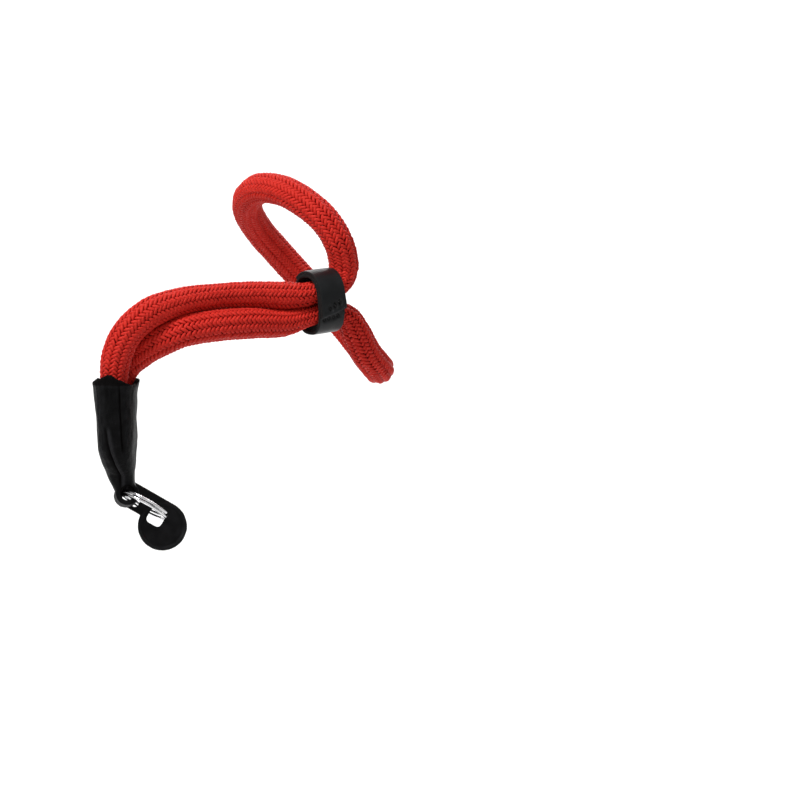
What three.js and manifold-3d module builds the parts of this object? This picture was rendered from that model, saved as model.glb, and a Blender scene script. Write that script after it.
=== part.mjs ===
// Camera wrist strap: one thick braided rope, doubled. Its middle makes the loop round the wrist,
// its two ends sit side by side in a leather end cap, and a leather slider holds the two strands
// together below the loop. The cap's nose is folded round a steel split ring, which also carries
// a leather lug pad. Millimetres, +Z up; the origin is the middle of the hollow for the wrist,
// and -Y is the near side, where the slider is.

import * as THREE from 'three';
import * as BufferGeometryUtils from 'three/addons/utils/BufferGeometryUtils.js';
import Module from 'manifold-3d';

const wasm = await Module();
wasm.setup();

// Driving dimensions.
const ropeSides = 12;
const ropeSteps = 108;

const capWall = 1.1;
const capSides = 24;
const capCavityFloor = -43.2;
const noseRadius = 3.35;
const noseWidth = 7;
const noseCentre = new THREE.Vector3(-51.1, -48, -56.1);

const ringCentre = new THREE.Vector3(-45.8, -48, -59);
const ringDip = THREE.MathUtils.degToRad(30);
const ringLean = THREE.MathUtils.degToRad(-18);
const ringMeanRadius = 6.55;
const ringWireWidth = 1.4;
const ringWireHeight = 0.85;
const ringCoilPitch = 0.95;
const ringFromTunnel = 5.97;
const tunnelRadius = 1.95;
const roundSides = 32;

const padThickness = 1.3;
const padFront = 3.9;
const padRadius = 7;

const sliderLength = 8.8;
const sliderWall = 1.1;
const sliderHalfWidth = 6.25;
const sliderHalfHeight = 8.8;
const sliderLap = 0.9;
const sliderLapStart = 100;
const sliderLapEnd = -12;
const outlineSteps = 48;
const sliderCentre = new THREE.Vector3(2.9, -26.8, -3.3);
const sliderAxis = new THREE.Vector3(0.79, 0.607, 0.085).normalize();

// The rope's centreline. thin is the half size of the section towards the other strand, wide the
// half size across that, and lean turns that direction from +Z (0) towards +Y (90).
const ropeRoute = [
  { x: -53.6, y: -52.4, z: -42.0, thin: 4.1, wide: 3.7, lean: -90 },
  { x: -53.8, y: -52.5, z: -33.0, thin: 4.1, wide: 3.7, lean: -90 },
  { x: -53.9, y: -52.7, z: -24.5, thin: 4.2, wide: 3.9, lean: -90 },
  { x: -53.1, y: -53.2, z: -16.8, thin: 4.3, wide: 4.4, lean: -75 },
  { x: -50.0, y: -53.2, z: -9.9, thin: 4.3, wide: 4.5, lean: -50 },
  { x: -44.0, y: -51.4, z: -4.4, thin: 4.3, wide: 4.5, lean: -20 },
  { x: -35.1, y: -46.8, z: -1.4, thin: 3.85, wide: 4.6, lean: 10 },
  { x: -25.9, y: -42.0, z: -0.6, thin: 3.7, wide: 4.6, lean: 25 },
  { x: -16.5, y: -37.0, z: -0.4, thin: 3.85, wide: 4.6, lean: 25 },
  { x: -7.1, y: -32.8, z: -0.8, thin: 4.0, wide: 4.6, lean: 10 },
  { x: -1.6, y: -30.3, z: -0.8, thin: 3.4, wide: 4.3, lean: 0 },
  { x: 2.6, y: -27.2, z: 0.2, thin: 3.0, wide: 4.3, lean: 0 },
  { x: 6.6, y: -24.2, z: 0.4, thin: 3.0, wide: 4.3, lean: 0 },
  { x: 9.5, y: -22.5, z: 4.1, thin: 3.9, wide: 4.5, lean: 0 },
  { x: 9.6, y: -23.0, z: 9.3, thin: 4.4, wide: 4.4, lean: 0 },
  { x: 8.0, y: -24.5, z: 14.7, thin: 4.4, wide: 4.4, lean: 0 },
  { x: 4.3, y: -24.4, z: 20.4, thin: 4.45, wide: 4.45, lean: 0 },
  { x: -1.3, y: -21.8, z: 25.1, thin: 4.5, wide: 4.5, lean: 0 },
  { x: -7.5, y: -17.0, z: 28.3, thin: 4.5, wide: 4.5, lean: 0 },
  { x: -14.1, y: -10.2, z: 29.0, thin: 4.5, wide: 4.5, lean: 0 },
  { x: -18.3, y: -2.5, z: 26.2, thin: 4.5, wide: 4.5, lean: 0 },
  { x: -19.1, y: 6.5, z: 21.6, thin: 4.5, wide: 4.5, lean: 0 },
  { x: -16.5, y: 16.0, z: 15.6, thin: 4.5, wide: 4.5, lean: 0 },
  { x: -10.0, y: 23.0, z: 7.4, thin: 4.5, wide: 4.5, lean: 0 },
  { x: -1.6, y: 25.6, z: -2.2, thin: 4.5, wide: 4.5, lean: 0 },
  { x: 7.5, y: 23.0, z: -12.0, thin: 4.5, wide: 4.5, lean: 0 },
  { x: 15.0, y: 15.0, z: -20.4, thin: 4.55, wide: 4.55, lean: 0 },
  { x: 19.4, y: 3.5, z: -24.8, thin: 4.65, wide: 4.65, lean: 0 },
  { x: 18.9, y: -8.0, z: -23.0, thin: 4.65, wide: 4.65, lean: 0 },
  { x: 15.8, y: -15.2, z: -18.2, thin: 4.6, wide: 4.6, lean: 0 },
  { x: 13.2, y: -19.2, z: -12.4, thin: 4.2, wide: 4.6, lean: 0 },
  { x: 10.6, y: -21.5, z: -7.6, thin: 3.4, wide: 4.4, lean: 0 },
  { x: 7.1, y: -23.8, z: -5.8, thin: 2.8, wide: 4.2, lean: 0 },
  { x: 3.2, y: -26.6, z: -6.2, thin: 3.0, wide: 4.3, lean: 0 },
  { x: -1.0, y: -29.8, z: -7.3, thin: 2.9, wide: 4.3, lean: 0 },
  { x: -7.0, y: -34.4, z: -8.8, thin: 3.6, wide: 4.6, lean: 10 },
  { x: -16.4, y: -41.0, z: -8.2, thin: 4.3, wide: 4.6, lean: 25 },
  { x: -25.8, y: -46.0, z: -8.4, thin: 4.5, wide: 4.6, lean: 25 },
  { x: -34.6, y: -49.1, z: -9.9, thin: 4.3, wide: 4.6, lean: 10 },
  { x: -41.4, y: -48.6, z: -12.8, thin: 4.3, wide: 4.5, lean: -20 },
  { x: -46.8, y: -46.4, z: -15.9, thin: 4.2, wide: 4.5, lean: -50 },
  { x: -50.8, y: -44.7, z: -19.4, thin: 4.2, wide: 4.2, lean: -75 },
  { x: -53.6, y: -43.4, z: -25.6, thin: 4.3, wide: 3.8, lean: -90 },
  { x: -53.8, y: -43.4, z: -33.0, thin: 4.1, wide: 3.7, lean: -90 },
  { x: -53.6, y: -43.4, z: -42.0, thin: 4.1, wide: 3.7, lean: -90 },
];

// The end cap's level sections, from its mouth down to the nose.
const capSections = [
  { z: -23.8, left: -60.1, right: -47.3, depth: 11.1 },
  { z: -26.0, left: -59.7, right: -47.7, depth: 10.9 },
  { z: -29.0, left: -59.5, right: -47.9, depth: 10.8 },
  { z: -34.0, left: -59.2, right: -48.2, depth: 10.7 },
  { z: -39.0, left: -59.0, right: -48.2, depth: 10.5 },
  { z: -42.5, left: -58.8, right: -48.3, depth: 10.1 },
  { z: -45.0, left: -58.2, right: -48.4, depth: 9.2 },
  { z: -47.4, left: -57.5, right: -48.5, depth: 7.6 },
  { z: -49.9, left: -56.6, right: -48.7, depth: 5.0 },
  { z: -52.2, left: -55.6, right: -48.7, depth: 4.1 },
  { z: -55.0, left: -54.4, right: -48.3, depth: 3.3 },
];

const leatherMaterial = new THREE.MeshStandardMaterial({ color: 0x17171a, roughness: 0.55, metalness: 0 });
const ropeMaterial = new THREE.MeshStandardMaterial({ color: 0xb8201c, roughness: 0.7, metalness: 0 });
const steelMaterial = new THREE.MeshStandardMaterial({ color: 0xd0d2d6, roughness: 0.15, metalness: 1 });

// A closed surface through rings of points that run the same way round, with flat ends.
function loft(rings) {
  const sides = rings[0].length;
  const positions = rings.flat().flatMap((point) => point.toArray());
  const faces = [];
  for (let ring = 0; ring < rings.length - 1; ring += 1) {
    for (let side = 0; side < sides; side += 1) {
      const next = (side + 1) % sides;
      const a = ring * sides + side;
      const b = ring * sides + next;
      faces.push(a, b, b + sides, a, b + sides, a + sides);
    }
  }
  const last = (rings.length - 1) * sides;
  for (let side = 1; side < sides - 1; side += 1) {
    faces.push(0, side + 1, side, last, last + side, last + side + 1);
  }
  const geometry = new THREE.BufferGeometry();
  geometry.setAttribute('position', new THREE.Float32BufferAttribute(positions, 3));
  geometry.setIndex(faces);
  return signedVolume(geometry) < 0 ? reversed(geometry) : geometry;
}

function signedVolume(geometry) {
  const at = (corner) => new THREE.Vector3().fromBufferAttribute(geometry.attributes.position, corner);
  const index = geometry.index.array;
  let volume = 0;
  for (let face = 0; face < index.length; face += 3) {
    volume += at(index[face]).dot(at(index[face + 1]).cross(at(index[face + 2])));
  }
  return volume / 6;
}

function reversed(geometry) {
  const index = Array.from(geometry.index.array);
  for (let face = 0; face < index.length; face += 3) {
    [index[face + 1], index[face + 2]] = [index[face + 2], index[face + 1]];
  }
  geometry.setIndex(index);
  return geometry;
}

function toSolid(geometry) {
  const bare = geometry.clone();
  bare.deleteAttribute('normal');
  bare.deleteAttribute('uv');
  const merged = BufferGeometryUtils.mergeVertices(bare, 1e-4);
  return new wasm.Manifold(new wasm.Mesh({
    numProp: 3,
    vertProperties: Float32Array.from(merged.attributes.position.array),
    triVerts: Uint32Array.from(merged.index.array),
  }));
}

function toGeometry(solid) {
  const mesh = solid.getMesh();
  const geometry = new THREE.BufferGeometry();
  geometry.setAttribute('position', new THREE.Float32BufferAttribute(mesh.vertProperties, 3));
  geometry.setIndex(new THREE.Uint32BufferAttribute(mesh.triVerts, 1));
  return geometry;
}

function namedMesh(name, geometry, material) {
  const mesh = new THREE.Mesh(geometry, material);
  mesh.name = name;
  return mesh;
}

// A rounded rectangle as one smooth closed curve; power 2 is an ellipse, more is squarer.
function roundedPoint(angle, halfWidth, halfHeight, power) {
  const reach = (value) => Math.sign(value) * Math.abs(value) ** (2 / power);
  return new THREE.Vector2(halfWidth * reach(Math.cos(angle)), halfHeight * reach(Math.sin(angle)));
}

function range(count) {
  return Array.from({ length: count }, (_, index) => index);
}

// The rope: rings at equal steps along the route, each a circle flattened towards the other strand.
function makeRope() {
  const curve = new THREE.CatmullRomCurve3(
    ropeRoute.map((row) => new THREE.Vector3(row.x, row.y, row.z)), false, 'centripetal');
  curve.arcLengthDivisions = 1200;
  const valueAt = (t, column) => {
    const place = t * (ropeRoute.length - 1);
    const row = Math.min(Math.floor(place), ropeRoute.length - 2);
    return THREE.MathUtils.lerp(ropeRoute[row][column], ropeRoute[row + 1][column], place - row);
  };
  const frames = curve.computeFrenetFrames(ropeSteps, false);
  const rings = range(ropeSteps + 1).map((step) => {
    const along = step / ropeSteps;
    const t = curve.getUtoTmapping(along);
    const centre = curve.getPoint(t);
    const lean = THREE.MathUtils.degToRad(valueAt(t, 'lean'));
    const toOther = new THREE.Vector3(0, Math.sin(lean), Math.cos(lean));
    toOther.addScaledVector(frames.tangents[step], -toOther.dot(frames.tangents[step])).normalize();
    const across = new THREE.Vector3().crossVectors(frames.tangents[step], toOther);
    return range(ropeSides).map((side) => {
      const angle = (2 * Math.PI * side) / ropeSides;
      const spoke = new THREE.Vector3()
        .addScaledVector(frames.normals[step], Math.cos(angle))
        .addScaledVector(frames.binormals[step], Math.sin(angle));
      return centre.clone()
        .addScaledVector(toOther, spoke.dot(toOther) * valueAt(t, 'thin'))
        .addScaledVector(across, spoke.dot(across) * valueAt(t, 'wide'));
    });
  });
  return namedMesh('rope', loft(rings), ropeMaterial);
}

// One skin of the end cap: its sections drawn in by an inset.
function capSkin(sections, inset, depthMiddle) {
  return loft(sections.map(({ z, left, right, depth }) => range(capSides).map((side) => {
    const angle = (2 * Math.PI * side) / capSides;
    const spot = roundedPoint(angle, (right - left) / 2 - inset, depth - inset, 3);
    return new THREE.Vector3((left + right) / 2 + spot.x, depthMiddle + spot.y, z);
  })));
}

function tunnelPose(geometry, centre) {
  const pose = new THREE.Object3D();
  pose.rotation.set(0, ringDip, 0);
  pose.rotateX(ringLean);
  pose.position.copy(centre);
  pose.updateMatrix();
  return geometry.applyMatrix4(pose.matrix);
}

// The end cap: a sleeve over both rope ends, closed below them and folded round the ring.
function makeEndCap() {
  const outer = toSolid(capSkin(capSections, 0, noseCentre.y));
  const nose = toSolid(tunnelPose(new THREE.CylinderGeometry(noseRadius, noseRadius, noseWidth, roundSides), noseCentre));
  const cavitySections = capSections.filter((row) => row.z > capCavityFloor);
  cavitySections.unshift({ ...capSections[0], z: capSections[0].z + 1 });
  const cavity = toSolid(capSkin(cavitySections, capWall, noseCentre.y));
  const tunnelGeometry = new THREE.CylinderGeometry(tunnelRadius, tunnelRadius, 3 * noseWidth, roundSides);
  const tunnel = toSolid(tunnelPose(tunnelGeometry, tunnelCentre()));
  return namedMesh('end_cap', toGeometry(outer.add(nose).subtract(cavity).subtract(tunnel)), leatherMaterial);
}

// Where the ring swings: a point inside the fold, on the line from the ring's middle to the nose.
function tunnelCentre() {
  const toNose = new THREE.Vector3(-Math.cos(ringDip), 0, Math.sin(ringDip));
  return ringCentre.clone().addScaledVector(toNose, ringFromTunnel);
}

// The slider: a short leather band whose outer end laps over the inner one on the near side.
function makeSlider() {
  const thickenedBy = (degrees) => {
    const share = (sliderLapStart - degrees) / (sliderLapStart - sliderLapEnd);
    return share > 0 && share <= 1 ? sliderLap * Math.min(1, 2 * share) : 0;
  };
  const outline = range(outlineSteps).map((step) => {
    const degrees = 180 - (360 * step) / outlineSteps;
    const spot = roundedPoint(THREE.MathUtils.degToRad(degrees), sliderHalfWidth, sliderHalfHeight, 2.7);
    return spot.setLength(spot.length() + thickenedBy(degrees));
  });
  const shape = new THREE.Shape(outline);
  const hole = range(outlineSteps).map((step) => {
    const angle = (2 * Math.PI * step) / outlineSteps;
    return roundedPoint(angle, sliderHalfWidth - sliderWall, sliderHalfHeight - sliderWall, 3);
  });
  shape.holes.push(new THREE.Path(hole));
  const geometry = new THREE.ExtrudeGeometry(shape, { depth: sliderLength, bevelEnabled: false });
  geometry.translate(0, 0, -sliderLength / 2);
  const mesh = namedMesh('slider', geometry, leatherMaterial);
  const near = new THREE.Vector3(sliderAxis.y, -sliderAxis.x, 0).normalize();
  const back = sliderAxis.clone().negate();
  mesh.quaternion.setFromRotationMatrix(
    new THREE.Matrix4().makeBasis(near, new THREE.Vector3().crossVectors(back, near), back));
  mesh.position.copy(sliderCentre);
  return mesh;
}

// The split ring: a flat wire wound twice, with one short step from the first coil to the second.
function makeSplitRing() {
  const steps = 120;
  const stepAngle = 0.6;
  const endGap = 0.12;
  const first = stepAngle / 2 + endGap;
  const last = 4 * Math.PI - first;
  const corners = [[-1, -0.6], [-0.7, -1], [0.7, -1], [1, -0.6], [1, 0.6], [0.7, 1], [-0.7, 1], [-1, 0.6]];
  const rings = range(steps + 1).map((step) => {
    const angle = THREE.MathUtils.lerp(first, last, step / steps);
    const climb = THREE.MathUtils.smoothstep(angle, 2 * Math.PI - stepAngle / 2, 2 * Math.PI + stepAngle / 2);
    const level = (climb - 0.5) * ringCoilPitch;
    return corners.map(([outwards, upwards]) => {
      const radius = ringMeanRadius + (outwards * ringWireWidth) / 2;
      return new THREE.Vector3(
        radius * Math.cos(angle), radius * Math.sin(angle), level + (upwards * ringWireHeight) / 2);
    });
  });
  return namedMesh('split_ring', loft(rings), steelMaterial);
}

// The lug pad: a disc with a tongue towards the nose, a slot for the ring and a hole for the lug.
// It is drawn in the ring's frame, where x runs away from the nose and z across the coils.
function makeLugPad() {
  const disc = { x: 7.1, z: -2.1 };
  const tongue = { tip: -8, top: 4.9, bottom: -2.5, corner: 2.2 };
  const slot = { x: -4.3, z: 0.1, width: 5, height: 3 };
  const lugHole = { x: 4.3, z: -0.9, width: 4.6, height: 4.6 };
  const plate = new THREE.Shape();
  plate.moveTo(disc.x, tongue.top);
  plate.lineTo(tongue.tip + tongue.corner, tongue.top);
  plate.quadraticCurveTo(tongue.tip, tongue.top, tongue.tip, tongue.top - tongue.corner);
  plate.lineTo(tongue.tip, tongue.bottom + tongue.corner);
  plate.quadraticCurveTo(tongue.tip, tongue.bottom, tongue.tip + tongue.corner, tongue.bottom);
  plate.lineTo(disc.x, tongue.bottom);
  const round = new THREE.Shape().absarc(disc.x, disc.z, padRadius, 0, 2 * Math.PI, false);
  const options = { depth: padThickness, bevelEnabled: false, curveSegments: 24 };
  let solid = toSolid(new THREE.ExtrudeGeometry(plate, options))
    .add(toSolid(new THREE.ExtrudeGeometry(round, options)));
  for (const { x, z, width, height } of [slot, lugHole]) {
    const opening = new THREE.Shape(range(roundSides).map((step) => {
      const spot = roundedPoint((2 * Math.PI * step) / roundSides, width / 2, height / 2, 4);
      return new THREE.Vector2(x + spot.x, z + spot.y);
    }));
    const cutter = new THREE.ExtrudeGeometry(opening, { depth: 3 * padThickness, bevelEnabled: false });
    solid = solid.subtract(toSolid(cutter.translate(0, 0, -padThickness)));
  }
  const mesh = namedMesh('lug_pad', toGeometry(solid), leatherMaterial);
  mesh.geometry.rotateX(Math.PI / 2);
  mesh.position.y = padFront + padThickness;
  return mesh;
}

// The ring and the pad share one frame: x away from the nose, y through the tunnel, z across the coils.
function makeRingGroup() {
  const group = new THREE.Group();
  group.rotation.set(0, ringDip, 0);
  group.rotateX(ringLean);
  group.position.copy(ringCentre);
  group.add(makeSplitRing(), makeLugPad());
  return group;
}

const strap = new THREE.Group();
strap.add(makeRope(), makeEndCap(), makeSlider(), makeRingGroup());

export default strap;
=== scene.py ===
import bmesh
import bpy
import math
import random
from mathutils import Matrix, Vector, noise


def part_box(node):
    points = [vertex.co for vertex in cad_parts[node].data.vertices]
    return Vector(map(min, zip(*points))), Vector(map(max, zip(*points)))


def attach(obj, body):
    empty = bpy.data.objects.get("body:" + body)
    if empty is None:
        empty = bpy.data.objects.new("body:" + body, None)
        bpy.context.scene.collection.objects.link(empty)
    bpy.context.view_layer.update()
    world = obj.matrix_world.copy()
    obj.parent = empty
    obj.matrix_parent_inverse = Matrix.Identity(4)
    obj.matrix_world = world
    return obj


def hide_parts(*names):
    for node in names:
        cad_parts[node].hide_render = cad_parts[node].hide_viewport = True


# Camera wrist strap: a doubled red braided rope, its leather end cap and slider, a steel split
# ring and a leather lug pad. Shapes are worked out in millimetres and baked to metres at the end.

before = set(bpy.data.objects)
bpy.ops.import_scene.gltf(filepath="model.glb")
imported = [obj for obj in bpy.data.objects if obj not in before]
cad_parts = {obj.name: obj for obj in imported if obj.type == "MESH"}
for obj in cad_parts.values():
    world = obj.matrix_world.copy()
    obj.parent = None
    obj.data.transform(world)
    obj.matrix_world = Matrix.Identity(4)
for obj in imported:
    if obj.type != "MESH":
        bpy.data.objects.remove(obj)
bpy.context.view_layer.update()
mm = 0.001


class Value:
    # one socket of a node tree; arithmetic on it adds Math nodes
    def __init__(self, graph, socket):
        self.graph = graph
        self.socket = socket

    def maths(self, operation, *terms):
        values = {place: term for place, term in enumerate(terms)}
        return self.graph.add("ShaderNodeMath", {"operation": operation}, values)

    def __add__(self, other):
        return self.maths("ADD", self, other)

    def __sub__(self, other):
        return self.maths("SUBTRACT", self, other)

    def __rsub__(self, other):
        return self.maths("SUBTRACT", other, self)

    def __mul__(self, other):
        return self.maths("MULTIPLY", self, other)

    def __pow__(self, other):
        return self.maths("POWER", self, other)

    __radd__ = __add__
    __rmul__ = __mul__

    def output(self, name):
        return Value(self.graph, self.socket.node.outputs[name])


class Graph:
    # a node tree being filled; every node with an output comes from add()
    def __init__(self, tree):
        self.tree = tree

    def add(self, kind, settings=None, inputs=None, output=0):
        node = self.tree.nodes.new(kind)
        for name, value in (settings or {}).items():
            setattr(node, name, value)
        for name, value in (inputs or {}).items():
            if isinstance(value, Value):
                self.tree.links.new(value.socket, node.inputs[name])
            else:
                node.inputs[name].default_value = value
        return Value(self, node.outputs[output])

    def blend(self, share, first, second):
        # a colour between two colours
        return self.add("ShaderNodeMix", {"data_type": "RGBA"}, {0: share, 6: first, 7: second}, 2)

    def between(self, value, low, high):
        # 0 at low, 1 at high, eased
        settings = {"interpolation_type": "SMOOTHSTEP"}
        return self.add("ShaderNodeMapRange", settings, {0: value, 1: low, 2: high, 3: 0.0, 4: 1.0})


class Finish(Graph):
    # a material with its one surface shader; constants go straight on the shader's sockets
    def __init__(self, name, constants):
        self.material = bpy.data.materials.new(name)
        self.material.use_nodes = True
        super().__init__(self.material.node_tree)
        self.shader = self.tree.nodes["Principled BSDF"]
        for socket, value in constants.items():
            self.shader.inputs[socket].default_value = value

    def feed(self, socket, value):
        self.tree.links.new(value.socket, self.shader.inputs[socket])

    def attribute(self, name, output="Fac"):
        return self.add("ShaderNodeAttribute", {"attribute_name": name}, output=output)

    def place(self):
        return self.add("ShaderNodeTexCoord", output="Object")

    def grain(self, place, size, **inputs):
        # noise whose blobs are about size millimetres across
        values = {"Vector": place, "Scale": 1000 / size, **inputs}
        return self.add("ShaderNodeTexNoise", inputs=values)

    def cells(self, place, size):
        # distance to the nearest edge between cells about size millimetres across
        values = {"Vector": place, "Scale": 1000 / size}
        return self.add("ShaderNodeTexVoronoi", {"feature": "DISTANCE_TO_EDGE"}, values)

    def relief(self, height, depth, strength=1.0):
        # depth in millimetres
        values = {"Height": height, "Distance": depth * mm, "Strength": strength}
        self.feed("Normal", self.add("ShaderNodeBump", inputs=values))


class Builder(Graph):
    # a Geometry Nodes tree with named inputs
    def __init__(self, name):
        super().__init__(bpy.data.node_groups.new(name, "GeometryNodeTree"))
        self.sockets = {}
        self.group = self.tree.nodes.new("NodeGroupInput")
        self.expose("Geometry", "NodeSocketGeometry")

    def expose(self, name, kind="NodeSocketFloat"):
        made = self.tree.interface.new_socket(name=name, in_out="INPUT", socket_type=kind)
        self.sockets[name] = made.identifier
        return Value(self, self.group.outputs[name])

    def close(self, geometry):
        kind = "NodeSocketGeometry"
        self.tree.interface.new_socket(name="Geometry", in_out="OUTPUT", socket_type=kind)
        end = self.tree.nodes.new("NodeGroupOutput")
        self.tree.links.new(geometry.socket, end.inputs[0])

    def run(self, guide, name, values):
        # runs the tree on a guide mesh and returns the result as a plain mesh object
        holder = addObject(name + "Guide", guide)
        modifier = holder.modifiers.new("build", "NODES")
        modifier.node_group = self.tree
        for key, value in values.items():
            modifier[self.sockets[key]] = value
        return plainMesh(holder, name)


def addObject(name, data):
    made = bpy.data.objects.new(name, data)
    bpy.context.scene.collection.objects.link(made)
    return made


def plainMesh(holder, name):
    # the holder's evaluated mesh as an object of its own; the holder goes
    bpy.context.view_layer.update()
    depsgraph = bpy.context.evaluated_depsgraph_get()
    mesh = bpy.data.meshes.new_from_object(holder.evaluated_get(depsgraph))
    mesh.name = name
    made = addObject(name, mesh)
    bpy.data.objects.remove(holder)
    return made


def meshObject(name, points, faces):
    mesh = bpy.data.meshes.new(name)
    mesh.from_pydata(points, [], faces)
    mesh.polygons.foreach_set("use_smooth", [True] * len(mesh.polygons))
    return addObject(name, mesh)


def tubeFaces(points, rings, sides):
    # quads between neighbouring rings of points, and at each end a fan round a middle point, which
    # is added to the points
    faces = []
    for ringAt in range(rings - 1):
        for side in range(sides):
            a = ringAt * sides + side
            b = ringAt * sides + (side + 1) % sides
            faces.append((a, b, b + sides, a + sides))
    for ringAt in (0, rings - 1):
        middle = len(points)
        points.append(sum(points[ringAt * sides:(ringAt + 1) * sides], Vector()) / sides)
        for side in range(sides):
            pair = (ringAt * sides + side, ringAt * sides + (side + 1) % sides)
            faces.append((middle, *(pair if ringAt else reversed(pair))))
    return faces


def turnFacesOut(made):
    work = bmesh.new()
    work.from_mesh(made.data)
    bmesh.ops.recalc_face_normals(work, faces=work.faces)
    work.to_mesh(made.data)
    work.free()


def addPointValues(mesh, name, values, kind="FLOAT"):
    layer = mesh.attributes.new(name, kind, "POINT")
    if kind == "FLOAT":
        layer.data.foreach_set("value", values)
    else:
        layer.data.foreach_set("vector", [part for value in values for part in value])


def scaledToMetres(made):
    for vertex in made.data.vertices:
        vertex.co *= mm
    made.data.update()
    return made


def remeshedCopy(node, name, voxel, smoothing):
    # a merged copy of a CAD node with an even skin, in millimetres
    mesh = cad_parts[node].data.copy()
    mesh.name = name
    work = bmesh.new()
    work.from_mesh(mesh)
    for vertex in work.verts:
        vertex.co /= mm
    bmesh.ops.remove_doubles(work, verts=work.verts, dist=0.002)
    work.to_mesh(mesh)
    work.free()
    mesh.materials.clear()
    holder = addObject(name + "Source", mesh)
    remesh = holder.modifiers.new("skin", "REMESH")
    remesh.mode = "VOXEL"
    remesh.voxel_size = voxel
    remesh.use_smooth_shade = True
    soften = holder.modifiers.new("soften", "SMOOTH")
    soften.factor = 0.5
    soften.iterations = smoothing
    return plainMesh(holder, name)


def moved(made, offset):
    # moves each point along its normal by offset(point, normal), in millimetres
    mesh = made.data
    shifts = [offset(vertex.co, vertex.normal) for vertex in mesh.vertices]
    normals = [vertex.normal.copy() for vertex in mesh.vertices]
    for vertex, shift, normal in zip(mesh.vertices, shifts, normals):
        vertex.co += normal * shift
    mesh.update()


def bump(value, middle, width):
    # 1 at the middle, falling off to nothing over a few widths
    return math.exp(-((value - middle) / width) ** 2)


def eased(value, low, high):
    # 0 at low, 1 at high, flat at both ends
    share = min(max((value - low) / (high - low), 0), 1)
    return share * share * (3 - 2 * share)


def mixed(first, second, share):
    return [a + (b - a) * share for a, b in zip(first, second)]


def squared(value, reach):
    # a sine or cosine made flatter, which turns a circle into a round-cornered box
    return math.copysign(abs(value) ** reach, value)


def finishPiece(made, body, nodes, finish):
    made.data.materials.clear()
    made.data.materials.append(finish.material)
    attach(made, body)
    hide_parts(*nodes)
    print(made.name, len(made.data.polygons), "faces")


camera = {
    "aim": Vector((26.04, -3.56, -33.84)), "distance": 900, "elevation": 6, "lens": 136.9,
    "sensor": 36, "nearest": 0.01, "farthest": 20,
}


def makeCamera():
    tilt = math.radians(camera["elevation"])
    back = Vector((0, -math.cos(tilt), math.sin(tilt)))
    data = bpy.data.cameras.new("camera")
    data.lens = camera["lens"]
    data.sensor_width = camera["sensor"]
    data.clip_start = camera["nearest"]
    data.clip_end = camera["farthest"]
    made = addObject("camera", data)
    made.location = (camera["aim"] + back * camera["distance"]) * mm
    made.rotation_euler = (math.radians(90) - tilt, 0, 0)
    bpy.context.scene.camera = made


makeCamera()
print("camera placed")


# a float is one short stretch of yarn that shows on the rope's skin
rope = {
    "radius": 4.5,
    "columns": 20,                # half columns of the braid round the rope
    "spacing": 1.27,              # one float to the next along a column
    "floatLength": 2.35,
    "floatWidth": 1.22,
    "floatHeight": 0.85,
    "floatSink": 0.36,            # how far a float's middle lies below the skin
    "dive": 0.58,                 # how far a float's outer end goes under the next pair of columns
    "lobe": 0.07,                 # depth of the valley between two pairs of columns
    "strayAlong": 0.06,           # how unevenly the floats lie: millimetres, radians, millimetres
    "strayAngle": 0.012,
    "strayLift": 0.05,
    "lengths": (0.97, 1.05),      # how unevenly they are sized
    "widths": (0.95, 1.05),
    "coreDepth": 0.62,            # how far the core lies below the skin
    "coreSides": 40,
    "coreStep": 1.2,
    "seed": 7,
}

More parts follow.
